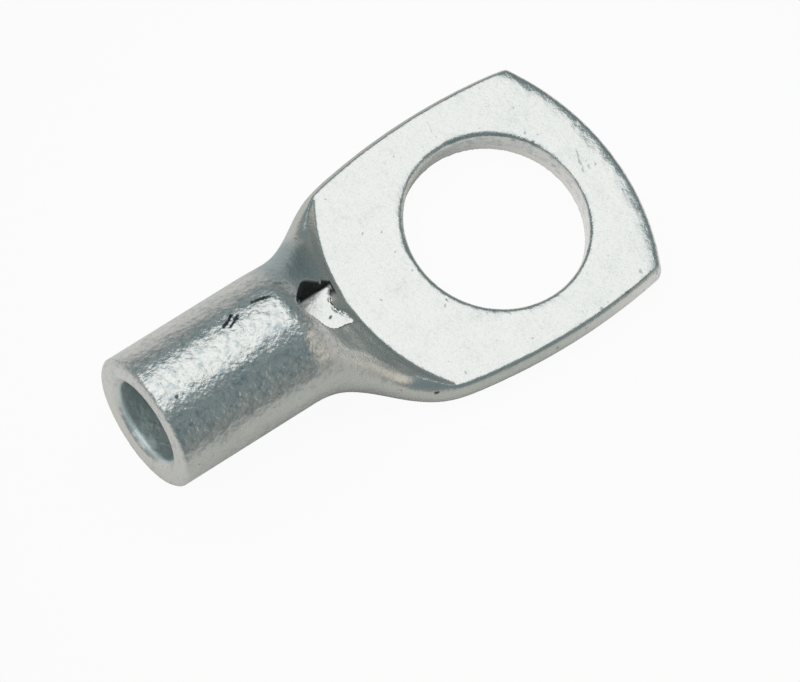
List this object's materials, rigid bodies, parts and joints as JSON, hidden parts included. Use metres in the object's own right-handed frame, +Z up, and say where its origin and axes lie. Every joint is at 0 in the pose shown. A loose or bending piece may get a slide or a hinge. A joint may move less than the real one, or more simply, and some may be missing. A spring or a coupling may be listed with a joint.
{
  "type": "tubular cable lug",
  "caption": "Tin-plated copper cable lug: a crimp barrel with a blind bore and an inspection hole, pressed into a flat palm with one stud hole.",
  "frame": {"origin": "centre of the stud hole on the palm's underside", "axes": "+Z up out of the palm's top face, +X from the stud hole to the tip, the barrel runs along -X"},
  "size_m": [0.033, 0.016, 0.009],
  "materials": {
    "tinned_copper": "satin tin plating over copper, slightly mottled"
  },
  "bodies": {
    "root": {"cable_lug": "tinned_copper"}
  },
  "joints": []
}
